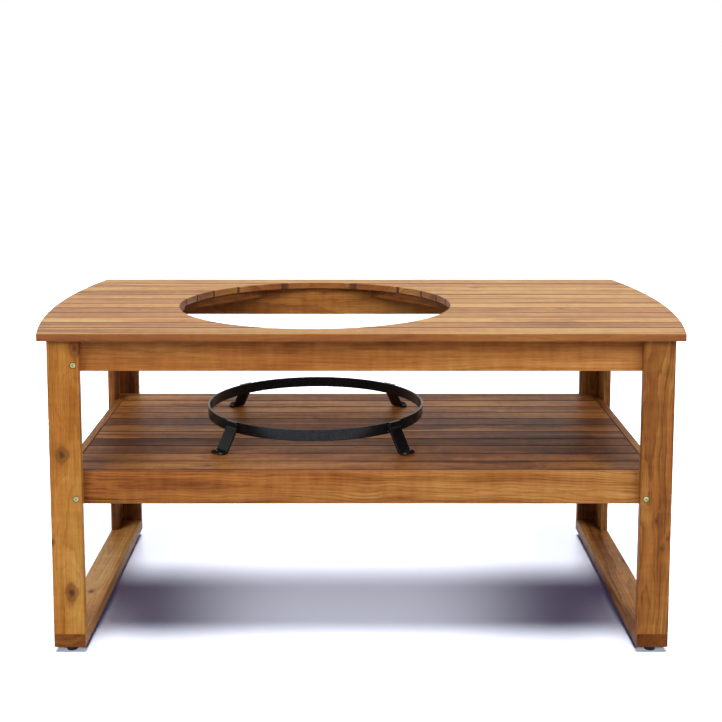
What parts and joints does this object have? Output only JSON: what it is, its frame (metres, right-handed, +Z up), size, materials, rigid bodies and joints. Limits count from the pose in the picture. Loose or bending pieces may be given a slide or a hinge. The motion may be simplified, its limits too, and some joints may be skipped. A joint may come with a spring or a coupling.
{
  "type": "kamado grill table",
  "caption": "Outdoor acacia table with bowed ends, a round grill opening through its slatted top, a slatted shelf, foot rails and a loose steel cradle.",
  "frame": {"origin": "middle of the table's footprint on the floor, under its glides", "axes": "+X along the table to the right seen from the front, -Y to the front, +Z up"},
  "size_m": [1.6, 0.8404, 0.78],
  "materials": {
    "acacia_top": "oiled satin",
    "acacia_frame": "oiled satin",
    "acacia_shelf": "oiled satin",
    "acacia_inner": "oiled",
    "dowel_wood": "plain",
    "glide_plastic": "matte black",
    "screw_steel": "zinc plated",
    "yellow_zinc": "yellow zinc plated",
    "black_steel": "gloss black"
  },
  "bodies": {
    "table": {"top_board_01": "acacia_top", "top_board_02": "acacia_top", "top_board_03": "acacia_top", "top_board_04": "acacia_top", "top_board_05": "acacia_top", "top_board_06": "acacia_top", "top_board_07": "acacia_top", "top_board_08": "acacia_top", "top_board_09": "acacia_top", "top_board_10": "acacia_top", "top_board_11": "acacia_top", "top_board_12": "acacia_top", "apron_front": "acacia_frame", "apron_back": "acacia_frame", "apron_left": "acacia_frame", "apron_right": "acacia_frame", "shelf_rail_front": "acacia_frame", "shelf_rail_back": "acacia_frame", "shelf_rail_left": "acacia_frame", "shelf_rail_right": "acacia_frame", "post_face_front_left": "acacia_frame", "post_side_front_left": "acacia_frame", "post_face_front_right": "acacia_frame", "post_side_front_right": "acacia_frame", "post_face_back_left": "acacia_frame", "post_side_back_left": "acacia_frame", "post_face_back_right": "acacia_frame", "post_side_back_right": "acacia_frame", "foot_rail_left": "acacia_frame", "foot_rail_right": "acacia_frame", "shelf_slat_01": "acacia_shelf", "shelf_slat_02": "acacia_shelf", "shelf_slat_03": "acacia_shelf", "shelf_slat_04": "acacia_shelf", "shelf_slat_05": "acacia_shelf", "shelf_slat_06": "acacia_shelf", "shelf_slat_07": "acacia_shelf", "shelf_slat_08": "acacia_shelf", "shelf_slat_09": "acacia_shelf", "shelf_slat_10": "acacia_shelf", "shelf_slat_11": "acacia_shelf", "top_battens": "acacia_inner", "opening_braces": "acacia_inner", "shelf_battens": "acacia_inner", "dowels": "dowel_wood", "glides": "glide_plastic", "board_screws": "screw_steel", "slat_screws": "screw_steel", "foot_screws": "screw_steel", "glide_screws": "screw_steel", "post_bolts": "yellow_zinc", "bolt_washers": "yellow_zinc", "bolt_nuts": "yellow_zinc"},
    "cradle": {"cradle_ring": "black_steel", "cradle_strap_1": "black_steel", "cradle_strap_2": "black_steel", "cradle_strap_3": "black_steel", "cradle_strap_4": "black_steel"}
  },
  "joints": [
    {"name": "cradle_lift", "type": "slide", "parent": "table", "child": "cradle", "axis": [0, 0, 1], "range_m": [0, 0.4]}
  ]
}
